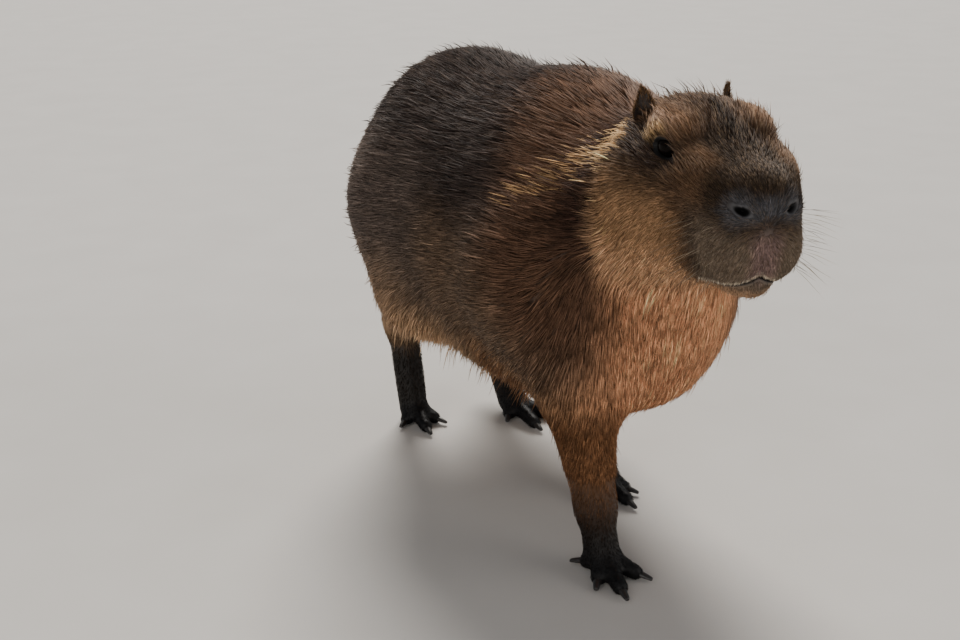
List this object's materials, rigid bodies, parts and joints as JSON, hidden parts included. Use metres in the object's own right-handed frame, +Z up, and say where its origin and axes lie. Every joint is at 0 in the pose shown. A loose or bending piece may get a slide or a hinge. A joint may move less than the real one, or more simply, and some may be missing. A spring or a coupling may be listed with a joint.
{
  "type": "animal model",
  "caption": "Life-size still model of a standing capybara, with a deep barrel body, a blunt head turned a little to its right, small ears, dark feet and blunt claws.",
  "frame": {"origin": "on the floor, under the middle of the model's bounding box", "axes": "the animal faces -Y, its left side is towards +X, and +Z is up"},
  "size_m": [0.3856, 0.9276, 0.5755],
  "materials": {
    "coat": "coarse short hair, matt",
    "foot": "dark bare skin with thin short hair",
    "ear": "dark bare skin, hair at the edge",
    "eye": "wet gloss",
    "claw": "horn, satin"
  },
  "bodies": {
    "root": {"torso": "coat", "neck": "coat", "head": "coat", "foreleg_right": "coat", "foreleg_left": "coat", "hindleg_right": "coat", "hindleg_left": "coat", "forefoot_right": "foot", "forefoot_left": "foot", "hindfoot_right": "foot", "hindfoot_left": "foot", "ear_right": "ear", "ear_left": "ear", "eye_right": "eye", "eye_left": "eye", "forefoot_right_claw_1": "claw", "forefoot_right_claw_2": "claw", "forefoot_right_claw_3": "claw", "forefoot_right_claw_4": "claw", "forefoot_left_claw_1": "claw", "forefoot_left_claw_2": "claw", "forefoot_left_claw_3": "claw", "forefoot_left_claw_4": "claw", "hindfoot_right_claw_1": "claw", "hindfoot_right_claw_2": "claw", "hindfoot_right_claw_3": "claw", "hindfoot_left_claw_1": "claw", "hindfoot_left_claw_2": "claw", "hindfoot_left_claw_3": "claw"}
  },
  "joints": []
}
